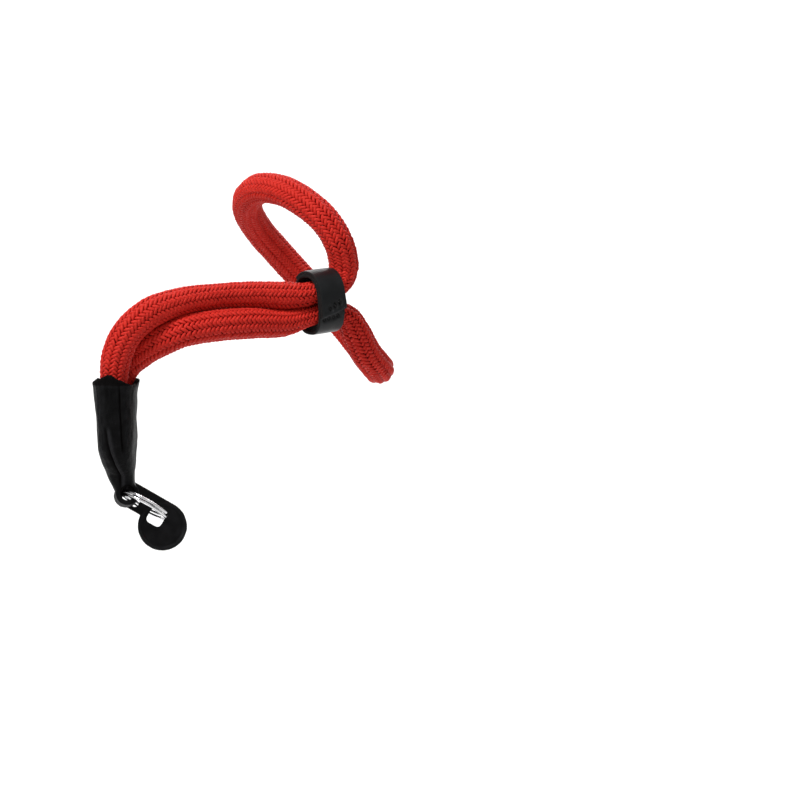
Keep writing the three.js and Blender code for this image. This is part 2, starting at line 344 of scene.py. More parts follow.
# from one end in the cap, round the wrist and back to the cap: x, y, z, half size towards the other
# strand, half size across that, and the line to the other strand, in degrees from Z towards Y
ropeRoute = [
    (-53.6, -52.4, -42.0, 4.1, 3.7, -90),
    (-53.8, -52.5, -33.0, 4.1, 3.7, -90),
    (-53.9, -52.7, -24.5, 4.2, 3.9, -90),
    (-53.1, -53.2, -16.8, 4.3, 4.4, -75),
    (-50.0, -53.2, -9.9, 4.3, 4.5, -50),
    (-44.0, -51.4, -4.5, 4.45, 4.5, -20),
    (-35.1, -46.8, -1.55, 4.1, 4.6, 10),
    (-25.9, -42.0, -0.65, 3.8, 4.6, 25),
    (-16.5, -37.0, -0.55, 4.05, 4.6, 25),
    (-7.1, -32.8, -1.0, 4.25, 4.6, 10),
    (-1.6, -30.3, -0.9, 3.55, 4.3, 0),
    (2.6, -27.2, 0.2, 3.0, 4.3, 0),
    (6.6, -24.2, 0.4, 3.0, 4.3, 0),
    (9.5, -22.5, 4.1, 3.9, 4.5, 0),
    (9.6, -23.0, 9.3, 4.4, 4.4, 0),
    (8.0, -24.5, 14.7, 4.4, 4.4, 0),
    (4.3, -24.4, 20.4, 4.45, 4.45, 0),
    (-1.3, -21.8, 25.1, 4.5, 4.5, 0),
    (-7.5, -17.0, 28.3, 4.5, 4.5, 0),
    (-14.1, -10.2, 29.0, 4.5, 4.5, 0),
    (-18.3, -2.5, 26.2, 4.5, 4.5, 0),
    (-19.1, 6.5, 21.6, 4.5, 4.5, 0),
    (-16.5, 16.0, 15.6, 4.5, 4.5, 0),
    (-10.0, 23.0, 7.4, 4.5, 4.5, 0),
    (-1.6, 25.6, -2.2, 4.5, 4.5, 0),
    (7.5, 23.0, -12.0, 4.5, 4.5, 0),
    (15.0, 15.0, -20.4, 4.55, 4.55, 0),
    (19.4, 3.5, -24.8, 4.65, 4.65, 0),
    (18.9, -8.0, -23.0, 4.65, 4.65, 0),
    (15.8, -15.2, -18.2, 4.6, 4.6, 0),
    (13.2, -19.2, -12.4, 4.2, 4.6, 0),
    (10.6, -21.5, -7.6, 3.4, 4.4, 0),
    (7.1, -23.8, -5.8, 2.8, 4.2, 0),
    (3.2, -26.6, -6.2, 3.0, 4.3, 0),
    (-1.0, -29.8, -7.2, 3.0, 4.3, 0),
    (-7.0, -34.4, -8.6, 3.85, 4.6, 10),
    (-16.4, -41.0, -8.1, 4.45, 4.6, 25),
    (-25.8, -46.0, -8.4, 4.5, 4.6, 25),
    (-34.6, -49.1, -9.75, 4.45, 4.6, 10),
    (-41.4, -48.6, -12.5, 4.6, 4.5, -20),
    (-46.8, -46.4, -15.8, 4.35, 4.5, -50),
    (-50.8, -44.7, -19.4, 4.2, 4.2, -75),
    (-53.6, -43.4, -25.6, 4.3, 3.8, -90),
    (-53.8, -43.4, -33.0, 4.1, 3.7, -90),
    (-53.6, -43.4, -42.0, 4.1, 3.7, -90),
]

# lengthwise hollows where the rope is squeezed: how far along it, half their length, which side of
# the rope, how deep, and how wide in radians
creases = [
    {"at": 276, "reach": 16, "way": Vector((0, -1, 0.1)), "depth": 0.55, "width": 0.2},
    {"at": 250, "reach": 12, "way": Vector((0, -1, -0.25)), "depth": 0.5, "width": 0.22},
    {"at": 100, "reach": 12, "way": Vector((0, -1, 0.35)), "depth": 0.25, "width": 0.2},
]


class RopeSkin:
    # stations at equal steps along the route, and the skin round them
    step = 0.4
    partsPerRow = 32

    def __init__(self, route):
        rows = [Vector(row[:3]) for row in route]
        rows = [rows[0] * 2 - rows[1], *rows, rows[-1] * 2 - rows[-2]]
        fine = []
        for place in range(len(route) - 1):
            for part in range(self.partsPerRow):
                share = part / self.partsPerRow
                shape = mixed(route[place][3:], route[place + 1][3:], share)
                fine.append((self.between(rows[place:place + 4], share), shape))
        fine.append((rows[-2], list(route[-1][3:])))
        self.stations = []
        walked = 0
        for (here, shape), (there, nextShape) in zip(fine, fine[1:]):
            gap = (there - here).length
            while len(self.stations) * self.step <= walked + gap:
                share = (len(self.stations) * self.step - walked) / gap
                centre = here.lerp(there, share)
                self.stations.append({"centre": centre, "shape": mixed(shape, nextShape, share)})
            walked += gap
        self.length = (len(self.stations) - 1) * self.step
        self.turnFrames()

    def between(self, four, share):
        # centripetal Catmull-Rom through the middle two of four points
        before, start, end, after = four
        first, middle, last = [max((b - a).length ** 0.5, 1e-4) for a, b in zip(four, four[1:])]
        leave = (start - before) / first - (end - before) / (first + middle) + (end - start) / middle
        arrive = (end - start) / middle - (after - start) / (middle + last) + (after - end) / last
        leave *= middle
        arrive *= middle
        cube, square = share ** 3, share ** 2
        return (start * (2 * cube - 3 * square + 1) + leave * (cube - 2 * square + share)
                + end * (3 * square - 2 * cube) + arrive * (cube - square))

    def turnFrames(self):
        # directions at each station: along the rope, two across it that don't twist, and the pair
        # towards the other strand
        side = None
        for place, station in enumerate(self.stations):
            before = self.stations[max(place - 1, 0)]["centre"]
            after = self.stations[min(place + 1, len(self.stations) - 1)]["centre"]
            tangent = (after - before).normalized()
            side = tangent.orthogonal() if side is None else side
            side = (side - tangent * side.dot(tangent)).normalized()
            lean = math.radians(station["shape"][2])
            toOther = Vector((0, math.sin(lean), math.cos(lean)))
            toOther = (toOther - tangent * toOther.dot(tangent)).normalized()
            station.update(tangent=tangent, side=side, up=tangent.cross(side), toOther=toOther,
                           across=tangent.cross(toOther))

    def hollow(self, crease, station, spoke, along):
        # how deep a crease is on one side of a station
        if abs(along - crease["at"]) >= crease["reach"] * 2:
            return 0
        way = crease["way"] - station["tangent"] * crease["way"].dot(station["tangent"])
        turn = math.acos(max(-1, min(1, spoke.dot(way.normalized()))))
        depth = crease["depth"] * bump(turn, 0, crease["width"])
        return depth * bump(along, crease["at"], crease["reach"])

    def at(self, angle, along, lift=0.0):
        # a point on the skin, or lifted off it, and the outward direction there
        place = min(max(along / self.step, 0), len(self.stations) - 1.001)
        share = place - int(place)
        pairPhase = (angle - math.pi / rope["columns"]) * rope["columns"] / 2
        valley = rope["lobe"] * (0.5 - 0.5 * math.cos(pairPhase))
        spots, outwards = [], []
        for station in self.stations[int(place):int(place) + 2]:
            spoke = station["side"] * math.cos(angle) + station["up"] * math.sin(angle)
            thin, wide = station["shape"][:2]
            off = lift - valley
            for crease in creases:
                off -= self.hollow(crease, station, spoke, along)
            towards = station["toOther"] * spoke.dot(station["toOther"])
            across = station["across"] * spoke.dot(station["across"])
            spots.append(station["centre"] + (towards * (thin + off) + across * (wide + off)))
            outwards.append((towards * wide + across * thin).normalized())
        return spots[0].lerp(spots[1], share), outwards[0].lerp(outwards[1], share).normalized()


def makeRopeCore(skin):
    sides = rope["coreSides"]
    count = int(skin.length / rope["coreStep"])
    points = []
    for step in range(count + 1):
        along = skin.length * step / count
        for side in range(sides):
            points.append(skin.at(2 * math.pi * side / sides, along, -rope["coreDepth"])[0])
    faces = tubeFaces(points, count + 1, sides)
    return meshObject("rope_core", points, faces)


def rodTree():
    # a plump rod on every guide point, for the yarn floats and the stitches; one sided, only its
    # +x end dives, and otherwise both do
    tree = Builder("rod")
    length = tree.expose("Float length")
    width = tree.expose("Float width")
    height = tree.expose("Float height")
    dive = tree.expose("Dive")
    oneSided = tree.expose("One sided")
    seed = tree.expose("Seed", "NodeSocketInt")
    material = tree.expose("Material", "NodeSocketMaterial")
    ball = tree.add("GeometryNodeMeshUVSphere", inputs={"Segments": 6, "Rings": 6, "Radius": 1.0})
    quarter = (0, math.pi / 2, 0)
    turned = tree.add("GeometryNodeTransform", inputs={"Geometry": ball, "Rotation": quarter})
    position = tree.add("GeometryNodeInputPosition")
    parts = tree.add("ShaderNodeSeparateXYZ", inputs={0: position})
    x, y, z = parts, parts.output("Y"), parts.output("Z")
    plump = (1.02 - x * x) ** -0.22
    outerEnd = x * 0.5 + 0.5
    narrowing = 1.05 - outerEnd * outerEnd * oneSided * 0.4
    sunk = x * x * (1 - oneSided) + outerEnd ** 4 * oneSided
    shaped = tree.add("ShaderNodeCombineXYZ", inputs={
        0: x * length * 0.5,
        1: y * plump * narrowing * width * 0.5,
        2: z * plump * height * 0.5 - sunk * dive,
    })
    onPoints = {"data_type": "FLOAT_VECTOR", "domain": "POINT"}
    kept = tree.add("GeometryNodeStoreNamedAttribute", onPoints, {
        "Geometry": turned, "Name": "yarn", "Value": position})
    rod = tree.add("GeometryNodeSetPosition", inputs={"Geometry": kept, "Position": shaped})
    outward, lie, size = [
        tree.add("GeometryNodeInputNamedAttribute", {"data_type": "FLOAT_VECTOR"}, {"Name": name})
        for name in ("outward", "lie", "size")]
    turn = tree.add("FunctionNodeAxesToRotation", {"primary_axis": "Z", "secondary_axis": "X"}, {
        "Primary Axis": outward, "Secondary Axis": lie})
    placed = tree.add("GeometryNodeInstanceOnPoints", inputs={
        "Points": Value(tree, tree.group.outputs["Geometry"]),
        "Instance": rod, "Rotation": turn, "Scale": size})
    chance = tree.add("FunctionNodeRandomValue", {"data_type": "FLOAT"}, {"Seed": seed}, 1)
    onInstances = {"data_type": "FLOAT", "domain": "INSTANCE"}
    shaded = tree.add("GeometryNodeStoreNamedAttribute", onInstances, {
        "Geometry": placed, "Name": "shade", "Value": chance})
    real = tree.add("GeometryNodeRealizeInstances", inputs={"Geometry": shaded})
    smooth = tree.add("GeometryNodeSetShadeSmooth", inputs={"Geometry": real, "Shade Smooth": True})
    tree.close(tree.add("GeometryNodeSetMaterial", inputs={"Geometry": smooth, "Material": material}))
    return tree


def guideMesh(name, points, outwards, lies, sizes):
    # guide points for the rod tree, with each rod's outward and lengthwise direction and its size
    guide = bpy.data.meshes.new(name)
    guide.from_pydata(points, [], [])
    for kind, values in (("outward", outwards), ("lie", lies), ("size", sizes)):
        addPointValues(guide, kind, values, "FLOAT_VECTOR")
    return guide


def makeBraid(skin, tree, finish):
    # two families of yarn, one winding each way; two half columns meet smoothly and make a V, and
    # the other end of each float dives into the row of pits between two Vs
    draw = random.Random(rope["seed"])
    rows = int(skin.length / rope["spacing"])
    reach = rope["spacing"] / 2
    halfColumn = math.pi / rope["columns"]
    columnWidth = 2 * math.pi * rope["radius"] / rope["columns"]
    made = []
    for family, slant in enumerate((1, -1)):
        points, outwards, lies, sizes = [], [], [], []
        for column in range(family, rope["columns"], 2):
            for row in range(rows):
                along = (row + 0.5 + 0.5 * family) * rope["spacing"]
                along += draw.uniform(-rope["strayAlong"], rope["strayAlong"])
                angle = column * 2 * halfColumn + draw.uniform(-rope["strayAngle"], rope["strayAngle"])
                start = skin.at(angle - halfColumn, along - slant * reach)[0]
                end = skin.at(angle + halfColumn, along + slant * reach)[0]
                left = skin.at(angle - halfColumn, along)[0]
                right = skin.at(angle + halfColumn, along)[0]
                lift = -rope["floatSink"] + draw.uniform(-rope["strayLift"], rope["strayLift"])
                spot, outward = skin.at(angle, along, lift)
                # a float is stretched or squeezed as the skin is where it lies
                stretch = (end - start).length / math.hypot(columnWidth, rope["spacing"])
                squeeze = (right - left).length / columnWidth
                points.append(spot)
                outwards.append(outward)
                lies.append((end - start).normalized() * -slant)
                sizes.append((stretch * draw.uniform(*rope["lengths"]),
                              squeeze * draw.uniform(*rope["widths"]), 1.0))
        guide = guideMesh("braidGuide", points, outwards, lies, sizes)
        made.append(tree.run(guide, "rope_yarns_" + ("left", "right")[family], {
            "Float length": rope["floatLength"],
            "Float width": rope["floatWidth"],
            "Float height": rope["floatHeight"],
            "Dive": rope["dive"],
            "One sided": 1.0,
            "Seed": rope["seed"] + family,
            "Material": finish.material,
        }))
    return made


def yarnFinish():
    finish = Finish("redYarn", {"Specular IOR Level": 0.12})
    yarn = finish.attribute("yarn", "Vector")
    shade = finish.attribute("shade")
    parts = finish.add("ShaderNodeSeparateXYZ", inputs={0: yarn})
    x, y, z = parts, parts.output("Y"), parts.output("Z")
    # fine filaments along each float, a little twisted, and different on every float
    lengthwise = {0: x * 1.2 + shade * 40, 1: y * 5 + x * 1.5, 2: z * 5}
    strands = finish.add("ShaderNodeCombineXYZ", inputs=lengthwise)
    noisy = {"Vector": strands, "Scale": 2.2, "Detail": 2.0}
    filaments = finish.add("ShaderNodeTexNoise", inputs=noisy)
    # painted shade: darker down the sides of a float, and much darker where it dives
    outerEnd = finish.between(x, -0.1, 0.8)
    side = 1 - finish.between(z, 0.0, 0.75)
    tone = 0.8 + filaments * 0.3 + shade * 0.18 - side * (0.2 + outerEnd * 0.85)
    # shadow is the red in painted shade, light the red in painted light on the floats' crowns
    shadow, red, light = (0.11, 0.0015, 0.0012, 1), (0.46, 0.0098, 0.0072, 1), (0.66, 0.03, 0.019, 1)
    deep = finish.blend(finish.between(tone, 0.0, 0.6), shadow, red)
    finish.feed("Base Color", finish.blend(finish.between(tone, 0.6, 1.15), deep, light))
    finish.feed("Roughness", 0.62 - filaments * 0.2)
    finish.relief(filaments, 0.06, 0.8)
    return finish


def coreFinish():
    # what shows between the floats: the same red, darkened to paint the deep shade there
    finish = Finish("ropeHeart", {"Roughness": 0.85, "Specular IOR Level": 0.1})
    fuzz = finish.grain(finish.place(), 0.6, Detail=3.0)
    finish.feed("Base Color", finish.blend(fuzz, (0.05, 0.0008, 0.0007, 1), (0.1, 0.0016, 0.0014, 1)))
    finish.relief(fuzz, 0.1)
    return finish


ropeSkin = RopeSkin(ropeRoute)
print("rope length", round(ropeSkin.length, 1), "mm")
ropeYarn = yarnFinish()
ropeCore = scaledToMetres(makeRopeCore(ropeSkin))
rods = rodTree()
yarns = [scaledToMetres(piece) for piece in makeBraid(ropeSkin, rods, ropeYarn)]
finishPiece(ropeCore, "root", ["rope"], coreFinish())
for piece in yarns:
    finishPiece(piece, "root", ["rope"], ropeYarn)
ropePath = [station["centre"] * mm for station in ropeSkin.stations[::5]]   # every 2 mm
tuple(ropePath[0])
print("rope braided")


def leatherFinish(name, settings):
    # the wear mask lightens rubbed edges and paints highlights on some ridges; the cut mask marks raw
    # edges, seams and holes, where fibres show, and paints shade into grooves, stitch dents and
    # recesses
    finish = Finish(name, {"Specular IOR Level": settings["shine"]})
    place = finish.place()
    wearAndHighlight = finish.attribute("wearAndHighlight")
    cutAndShade = finish.attribute("cutAndShade")
    pebbles = finish.between(finish.cells(place, settings["grain"]), 0.0, 0.35)
    creaseLines = finish.between(finish.cells(place, settings["grain"] * 4.5), 0.0, 0.05)
    fine = finish.grain(place, settings["grain"] * 0.4, Detail=3.0)
    broad = finish.grain(place, 5.0, Detail=3.0)
    fibres = finish.grain(place, 0.25, Detail=4.0)
    skin = finish.blend(finish.between(broad, 0.3, 0.7), settings["dark"], settings["light"])
    # lighter where rubbed and where highlights are painted, then raw leather that also paints shade
    rubbedAndHighlight = finish.blend(wearAndHighlight * settings["wearAndHighlightAmount"], skin, settings["rubbedAndHighlight"])
    rawAndShade = finish.blend(fibres, (0.006, 0.005, 0.005, 1), settings["rawAndShade"])
    finish.feed("Base Color", finish.blend(cutAndShade, rubbedAndHighlight, rawAndShade))
    rough = settings["rough"] + (broad - 0.5) * 0.22 + cutAndShade * 0.5 - wearAndHighlight * 0.06 - pebbles * 0.05
    finish.feed("Roughness", rough)
    height = pebbles * 0.5 + creaseLines * 0.3 + fine * 0.35
    finish.relief(height * (1 - cutAndShade) + fibres * cutAndShade * 1.6, settings["depth"])
    return finish


# the cap's hole and the pad are placed by the ring: away points from the cap to the pad, hinge
# along the axis it swings on, and over from one turn of wire to the other
ring = {
    "centre": Vector((-45.8, -48, -59)), "away": Vector((0.86603, 0, -0.5)),
    "hinge": Vector((-0.15451, 0.95106, -0.26762)), "over": Vector((0.47553, 0.30902, 0.82364)),
    "radius": 6.55, "wireWidth": 1.4, "wireHeight": 0.74, "corner": 0.72, "endTaper": 0.28,
    "pitch": 0.95, "stepAngle": 0.6, "endGap": 0.12, "steps": 420, "sides": 20,
}


cap = {
    "voxel": 0.26, "smoothing": 8,
    "grain": 0.42, "depth": 0.08, "shine": 0.07, "rough": 0.5, "wearAndHighlightAmount": 0.6,
    "dark": (0.0012, 0.0012, 0.0013, 1), "light": (0.004, 0.004, 0.0043, 1),
    # the rubbed colour also paints highlights, and the raw colour also paints shade in grooves
    "rubbedAndHighlight": (0.035, 0.035, 0.038, 1), "rawAndShade": (0.0015, 0.0013, 0.0013, 1),
    "middle": (-53.7, -48.0),
    # the lines down its near face: where, which way they run, and where they start and end below
    # the mouth
    "jointX": -51.9, "jointLean": 0.045, "jointWidth": 0.38, "jointDepth": 0.75, "jointEnd": 17,
    "edgeX": -55.3, "edgeBend": 0.02, "edgePower": 1.9, "edgeReach": 3.4,
    "edgeStart": 11, "edgeEnd": 28, "edgeWidth": 0.42, "edgeHeight": 0.5,
    "foldWidth": 0.34, "foldDepth": 0.6,
    "dent": 0.35, "ripple": 0.1, "ragged": 1.3, "rimHeight": 2.6, "rimX": -54.8, "rimWidth": 3.4,
    "tunnelRadius": 1.95, "tunnelFromRing": 5.97,
}


def makeCap():
    made = remeshedCopy("end_cap", "end_cap_leather", cap["voxel"], cap["smoothing"])
    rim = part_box("end_cap")[1].z / mm
    middleX, middleY = cap["middle"]

    def seams(point, normal):
        # how strongly three lines down the near face show at a point: the joint between its two
        # halves, the fold beside the edge, and the folded edge that leaves the joint further down
        near = eased(-normal.y, 0.25, 0.7) * (1 if point.y < middleY else 0)
        down = rim - point.z
        jointX = cap["jointX"] + cap["jointLean"] * down
        shown = eased(down, 0.5, 3) * (1 - eased(down, cap["jointEnd"], cap["jointEnd"] + 4))
        joint = near * bump(point.x, jointX, cap["jointWidth"]) * shown
        below = max(down - cap["edgeStart"], 0)
        edgeX = cap["edgeX"] + min(cap["edgeBend"] * below ** cap["edgePower"], cap["edgeReach"])
        near *= eased(below, 0, 3) * (1 - eased(down, cap["edgeEnd"], cap["edgeEnd"] + 3))
        fold = near * bump(point.x, edgeX - 0.6, cap["foldWidth"])
        edge = near * bump(point.x, edgeX + 0.35, cap["edgeWidth"])
        return joint, fold, edge

    def offset(point, normal):
        down = rim - point.z
        joint, fold, edge = seams(point, normal)
        shift = cap["edgeHeight"] * edge - cap["jointDepth"] * joint - cap["foldDepth"] * fold
        # soft dents of a hand-worked sleeve, then finer ripples
        shift += cap["dent"] * noise.noise(point * 0.16 + Vector((3, 1, 7))) * eased(down, 0, 3)
        shift += cap["ripple"] * noise.noise(Vector((point.x, point.y, point.z * 0.5)) * 0.9)
        return shift

    mesh = made.data
    seamValues = [seams(vertex.co, vertex.normal) for vertex in mesh.vertices]
    moved(made, offset)
    # a ragged mouth, higher in front and flared a little there
    for vertex in mesh.vertices:
        point = vertex.co
        near = eased(rim - point.z, 3.5, 0)
        outward = Vector((point.x - middleX, point.y - middleY, 0)).normalized()
        ragged = 0.35 * noise.noise(Vector((point.x * 0.9, point.y * 0.9, 2.0)))
        ragged += 0.25 * noise.noise(Vector((point.x * 2.6, point.y * 2.6, 5.0)))
        raised = bump(point.x, cap["rimX"], cap["rimWidth"]) - 0.35 * eased(point.x, -51, -47)
        front = eased(middleY - point.y, 0, 7) * raised
        vertex.co.z += near * (ragged * cap["ragged"] + cap["rimHeight"] * front)
        vertex.co += outward * (0.12 + 0.15 * abs(front)) * near
    mesh.update()
    cutAndShade, wearAndHighlight = [], []
    for vertex, (joint, fold, edge) in zip(mesh.vertices, seamValues):
        point = vertex.co
        corner = abs(vertex.normal.x) * abs(vertex.normal.y) * 2
        patch = 0.5 + 0.5 * noise.noise(point * 0.6)
        # the hole that the ring goes through is raw leather
        fromTunnel = point - ring["centre"] + ring["away"] * cap["tunnelFromRing"]
        fromTunnel -= ring["hinge"] * fromTunnel.dot(ring["hinge"])
        inTunnel = eased(fromTunnel.length, cap["tunnelRadius"] + 0.45, cap["tunnelRadius"] + 0.1)
        mouth = eased(point.z, rim - 0.55, rim - 0.2)
        # painted shade in the joint and fold grooves; the mouth and the hole are raw leather
        cutAndShade.append(min(1, mouth + joint + fold + inTunnel))
        # rubbed on the corners and round the mouth; lighter along the folded edge, a painted highlight
        # as well as rubbing
        rubbedAndHighlight = corner * patch * 0.5 + eased(point.z, rim - 1.4, rim) * 0.3 + edge * (0.5 + patch)
        wearAndHighlight.append(min(1, rubbedAndHighlight))
    addPointValues(mesh, "cutAndShade", cutAndShade)
    addPointValues(mesh, "wearAndHighlight", wearAndHighlight)
    return scaledToMetres(made)


finishPiece(makeCap(), "root", ["end_cap"], leatherFinish("capLeather", cap))
print("end cap made")


slider = {
    "centre": Vector((2.9, -26.8, -3.3)), "axis": Vector((0.79, 0.607, 0.085)).normalized(),
    "length": 8.8, "halfWidth": 6.25, "halfHeight": 8.8, "power": 2.7, "wall": 1.05,
    "edgeRadius": 0.34, "crown": 0.1, "uneven": 0.22, "waver": 0.09, "roundSteps": 200,
    # the outer layer, from its hidden start over the top to its end on the near side, in degrees
    "lapStart": 128, "lapEnd": -12.5, "lapSlant": 6.5, "lapLift": 0.4, "lapThickness": 0.9,
    "lapOverlap": 0.14, "lapStartShare": 0.12, "lapRounding": 0.3,
    "grain": 0.3, "depth": 0.02, "shine": 0.32, "rough": 0.42, "wearAndHighlightAmount": 0.12,
    "dark": (0.006, 0.0068, 0.0075, 1), "light": (0.0105, 0.0115, 0.0125, 1),
    # the rubbed colour also paints a highlight line, and the raw colour also paints shade
    "rubbedAndHighlight": (0.03, 0.031, 0.034, 1), "rawAndShade": (0.004, 0.004, 0.004, 1),
    # one row of stitches on the lap and one below it; turn is in degrees from the lap's end
    "stitchRows": [
        {"onLap": True, "turn": 10.0, "count": 3, "spacing": 1.75, "shift": -0.4, "slant": 1.3,
         "dentDegrees": 2.8, "dentShare": 1.0},
        {"onLap": False, "turn": -9.0, "count": 4, "spacing": 1.6, "shift": 0.4, "slant": 0.8,
         "dentDegrees": 4.0, "dentShare": 0.7},
    ],
    "stitchLength": 1.6, "stitchWidth": 0.6, "stitchHeight": 0.5, "stitchStray": 0.7,
    "dent": 1.0, "dentWidth": 0.55, "seed": 21,
}


class BandFrame:
    # places on the slider: an angle round it, a distance along its axis and a height off the
    # inside of its wall
    def __init__(self):
        self.near = Vector((slider["axis"].y, -slider["axis"].x, 0)).normalized()
        self.back = -slider["axis"]
        self.up = self.back.cross(self.near)

    def flat(self, degrees):
        # the outline, a round-cornered box, in the plane across the axis
        turn = math.radians(degrees)
        reach = 2 / slider["power"]
        across = squared(math.cos(turn), reach) * (slider["halfWidth"] - slider["wall"])
        upwards = squared(math.sin(turn), reach) * (slider["halfHeight"] - slider["wall"])
        return Vector((across, upwards))

    def at(self, degrees, along, height):
        # along runs from the loop's side, negative, to the cap's side
        tangent = (self.flat(degrees + 0.5) - self.flat(degrees - 0.5)).normalized()
        outward = Vector((tangent.y, -tangent.x))
        spot = self.flat(degrees) + outward * height
        point = slider["centre"] + self.near * spot.x + self.up * spot.y + self.back * along
        out = self.near * outward.x + self.up * outward.y
        return point, out, self.near * tangent.x + self.up * tangent.y


def bandProfile(length, low, high):
    # a strap's cross-section: places along and heights, with rounded edges and a crowned outside
    radius = slider["edgeRadius"]
    far = length / 2 - radius
    corners = [(far, high - radius, 0), (-far, high - radius, 90),
               (-far, low + radius, 180), (far, low + radius, 270)]
    crowns = [slider["crown"], 0, 0, 0]
    stepsAfter = [30, 1, 10, 1]
    profile = []
    for place, (along, height, start) in enumerate(corners):
        for part in range(5):
            turn = math.radians(start + 90 * part / 4)
            profile.append((along + radius * math.cos(turn), height + radius * math.sin(turn)))
        level = profile[-1][1]
        for part in range(1, stepsAfter[place]):
            share = part / stepsAfter[place]
            crown = crowns[place] * math.sin(math.pi * share)
            profile.append((along - 2 * along * share, level + crown))
    return profile


def stitchPlaces():
    # each stitch's degrees, its place along the axis and its row
    draw = random.Random(slider["seed"])
    places = []
    for row in slider["stitchRows"]:
        for place in range(row["count"]):
            along = (place - (row["count"] - 1) / 2) * row["spacing"] + row["shift"]
            slant = slider["lapSlant"] * row["slant"] * along * 2 / slider["length"]
            stray = draw.uniform(-slider["stitchStray"], slider["stitchStray"])
            places.append((slider["lapEnd"] + row["turn"] - slant + stray, along, row))
    return places


def stitchDent(stitches, degrees, along, onLap):
    # how far the stitches have pulled the leather in at a place, 1 being the deepest
    dent = 0
    for stitchDegrees, stitchAlong, row in stitches:
        if row["onLap"] == onLap:
            dent += (row["dentShare"] * bump(degrees, stitchDegrees, row["dentDegrees"])
                     * bump(along, stitchAlong, slider["dentWidth"]))
    return dent


def bandSections(start, end, low, high, closed):
    # angles round the slider, each with the strap's cross-section there
    count = int(abs(end - start) / 360 * slider["roundSteps"])
    sections = []
    for step in range(count if closed else count + 1):
        share = step / count
        degrees = start + (end - start) * share
        length = slider["length"] + slider["uneven"] * math.sin(math.radians(degrees + 60)) - 0.1
        top, bottom = high, low
        if not closed:
            # the lap thickens from its start, and its end lifts off and is rounded
            thin = slider["lapStartShare"]
            fromEnd = (1 - share) * abs(end - start)
            lift = slider["lapLift"] * eased(fromEnd, 20, 0)
            rounding = slider["lapRounding"] * eased(fromEnd, 2.2, 0)
            top = low + (high - low) * (thin + (1 - thin) * eased(share, 0.0, 0.3)) + lift - rounding
            bottom += lift + rounding * 0.7
            length -= rounding * 1.5
        thinnest = bottom + 0.08 + 2 * slider["edgeRadius"]
        sections.append((degrees, bandProfile(length, bottom, max(top, thinnest))))
    return sections


def makeBandLayer(frameOf, start, end, low, high, closed, points, faces, dark):
    # adds a strap that runs round the slider between two angles; dark gets each point's painted shade,
    # which is below 0 on the painted highlight line along the lap's end
    first = len(points)
    stitches = stitchPlaces()
    sections = bandSections(start, end, low, high, closed)
    for degrees, profile in sections:
        slant = 0 if closed else slider["lapSlant"] * eased(degrees - end, 60, 0)
        for along, height in profile:
            turned = degrees - slant * along * 2 / slider["length"]
            waver = slider["waver"] * noise.noise(Vector((degrees * 0.035, along * 0.22, low)))
            outside = height > (low + high) / 2
            dent = stitchDent(stitches, turned, along, not closed) if outside else 0
            points.append(frameOf.at(turned, along, height + waver - slider["dent"] * dent)[0])
            # painted shadow over the closed band's inside; at the lap's end, painted shade on its end
            # face and a painted highlight line beside it
            if closed:
                shadow = eased(height, 0.35, 0.15)
            else:
                shadow = eased(degrees - end, 1.4, 0.3) - bump(degrees - end, 2.6, 1.2)
            # the stitch dents get painted shade as well
            dark.append(min(1, dent * 1.8) + shadow)
    size = len(sections[0][1])
    count = len(sections)
    for row in range(count if closed else count - 1):
        here = first + row * size
        there = first + (row + 1) % count * size
        for side in range(size):
            after = (side + 1) % size
            faces.append((here + side, here + after, there + after, there + side))
    if not closed:
        for row in (0, count - 1):
            loop = [first + row * size + side for side in range(size)]
            faces.append(tuple(loop if row else reversed(loop)))


def makeSlider():
    frameOf = BandFrame()
    points, faces, dark = [], [], []
    wall = slider["wall"]
    makeBandLayer(frameOf, 0, -360, 0.0, wall, True, points, faces, dark)
    makeBandLayer(frameOf, slider["lapStart"], slider["lapEnd"], wall - slider["lapOverlap"],
                  wall + slider["lapThickness"], False, points, faces, dark)
    made = meshObject("slider_band", points, faces)
    turnFacesOut(made)
    mesh = made.data
    wearAndHighlight, cutAndShade = [], []
    for vertex, shadow in zip(mesh.vertices, dark):
        point = vertex.co - slider["centre"]
        along = abs(point.dot(frameOf.back))
        edge = eased(along, slider["length"] / 2 - 0.9, slider["length"] / 2 - 0.2)
        patch = 0.5 + 0.5 * noise.noise(vertex.co * 0.5)
        # rubbed along the strap's edges, plus the painted highlight line along the lap's end
        wearAndHighlight.append(min(1, 0.2 * patch + 0.7 * edge * patch) - min(0, shadow) * 8)
        # painted shade from the band's shadow and dents, and at the cut edges raw leather darkened as
        # painted shade
        cutAndShade.append(max(shadow, eased(along, slider["length"] / 2 - 0.3, slider["length"] / 2 - 0.1)))
    addPointValues(mesh, "cutAndShade", cutAndShade)
    addPointValues(mesh, "wearAndHighlight", wearAndHighlight)
    return scaledToMetres(made)


